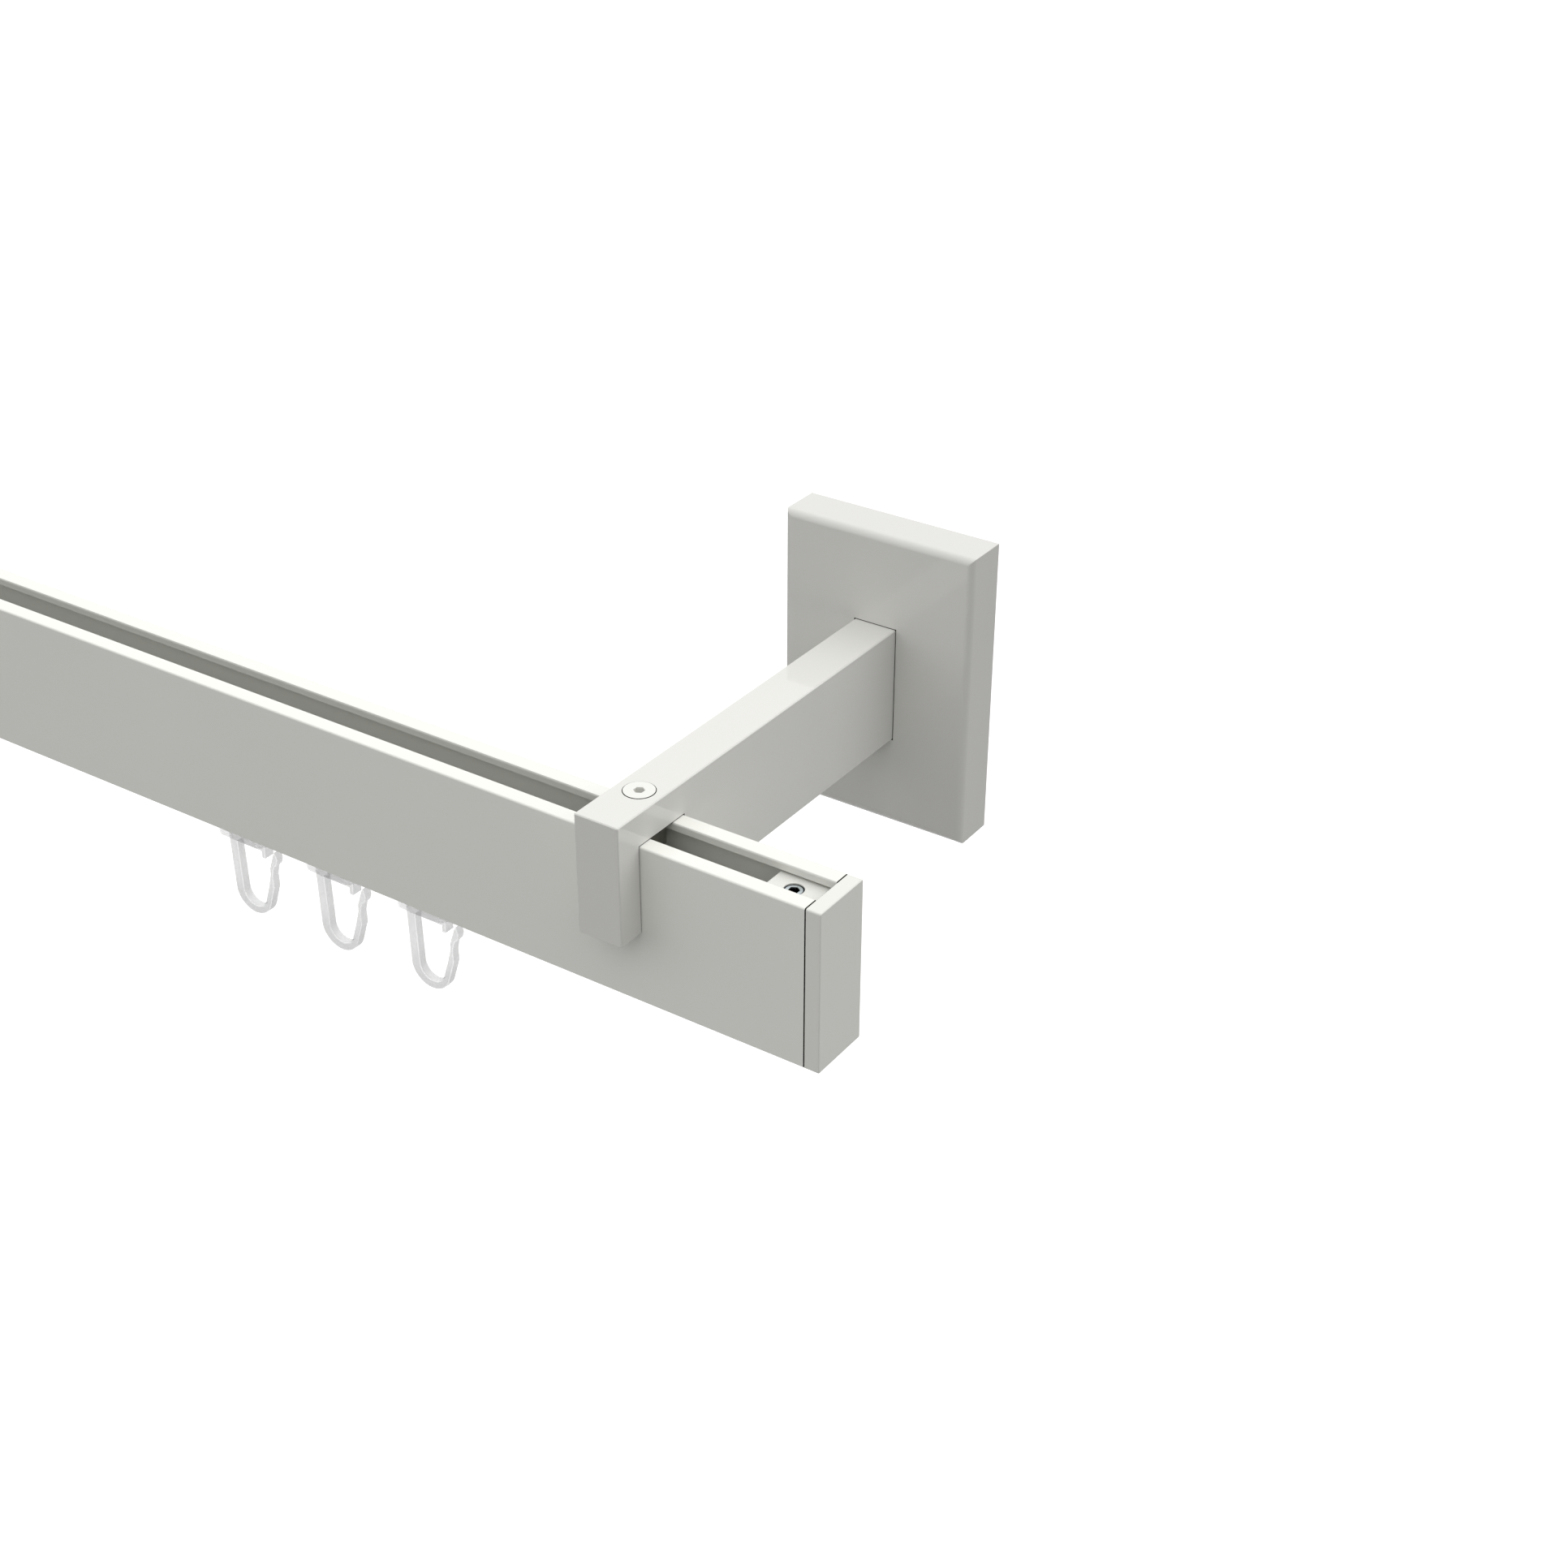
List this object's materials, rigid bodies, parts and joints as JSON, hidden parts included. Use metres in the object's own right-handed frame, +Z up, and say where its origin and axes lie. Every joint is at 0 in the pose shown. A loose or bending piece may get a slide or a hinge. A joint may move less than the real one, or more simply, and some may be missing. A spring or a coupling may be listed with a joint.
{
  "type": "curtain track",
  "caption": "Flat white wall-mounted curtain rail with bracket arms, wall plates under covers, screwed end caps and plastic gliders that slide in its lower slot.",
  "frame": {"origin": "on the wall, midway between the two brackets and between the upper and lower wall screw holes", "axes": "+X along the rail, +Y into the wall, +Z up"},
  "size_m": [1.0068, 0.1057, 0.0865],
  "materials": {
    "rail_paint": "white powder coat on extruded aluminium, satin",
    "fitting_paint": "white powder coat, half gloss",
    "screw_paint": "white paint on steel",
    "zinc": "bright zinc plated steel",
    "glider_plastic": "translucent white moulded plastic"
  },
  "bodies": {
    "track": {"rail_profile": "rail_paint", "end_cap_right": "fitting_paint", "end_cap_left": "fitting_paint", "end_cap_screw_right": "zinc", "end_cap_screw_left": "zinc", "bracket_arm_right": "fitting_paint", "bracket_arm_left": "fitting_paint", "clamp_screw_right": "screw_paint", "clamp_screw_left": "screw_paint", "slot_nut_right": "zinc", "slot_nut_left": "zinc", "wall_plate_right": "zinc", "wall_plate_left": "zinc", "arm_bolt_right": "zinc", "arm_bolt_left": "zinc", "wall_cover_right": "fitting_paint", "wall_cover_left": "fitting_paint", "cover_screw_right": "zinc", "cover_screw_left": "zinc"},
    "glider_01": {"glider_01": "glider_plastic"},
    "glider_02": {"glider_02": "glider_plastic"},
    "glider_03": {"glider_03": "glider_plastic"},
    "glider_04": {"glider_04": "glider_plastic"},
    "glider_05": {"glider_05": "glider_plastic"},
    "glider_06": {"glider_06": "glider_plastic"},
    "glider_07": {"glider_07": "glider_plastic"},
    "glider_08": {"glider_08": "glider_plastic"},
    "glider_09": {"glider_09": "glider_plastic"},
    "glider_10": {"glider_10": "glider_plastic"}
  },
  "joints": [
    {"name": "glider_01_slide", "type": "slide", "parent": "track", "child": "glider_01", "axis": [1, 0, 0], "range_m": [-0.0112, 0.0889]},
    {"name": "glider_02_slide", "type": "slide", "parent": "track", "child": "glider_02", "axis": [1, 0, 0], "range_m": [-0.0112, 0.0112]},
    {"name": "glider_03_slide", "type": "slide", "parent": "track", "child": "glider_03", "axis": [1, 0, 0], "range_m": [-0.1273, 0.0112]},
    {"name": "glider_04_slide", "type": "slide", "parent": "track", "child": "glider_04", "axis": [1, 0, 0], "range_m": [-0.1273, 0.1273]},
    {"name": "glider_05_slide", "type": "slide", "parent": "track", "child": "glider_05", "axis": [1, 0, 0], "range_m": [-0.1273, 0.1273]},
    {"name": "glider_06_slide", "type": "slide", "parent": "track", "child": "glider_06", "axis": [1, 0, 0], "range_m": [-0.1273, 0.1273]},
    {"name": "glider_07_slide", "type": "slide", "parent": "track", "child": "glider_07", "axis": [1, 0, 0], "range_m": [-0.1273, 0.1273]},
    {"name": "glider_08_slide", "type": "slide", "parent": "track", "child": "glider_08", "axis": [1, 0, 0], "range_m": [-0.0112, 0.1273]},
    {"name": "glider_09_slide", "type": "slide", "parent": "track", "child": "glider_09", "axis": [1, 0, 0], "range_m": [-0.0112, 0.0112]},
    {"name": "glider_10_slide", "type": "slide", "parent": "track", "child": "glider_10", "axis": [1, 0, 0], "range_m": [-0.0889, 0.0112]}
  ]
}
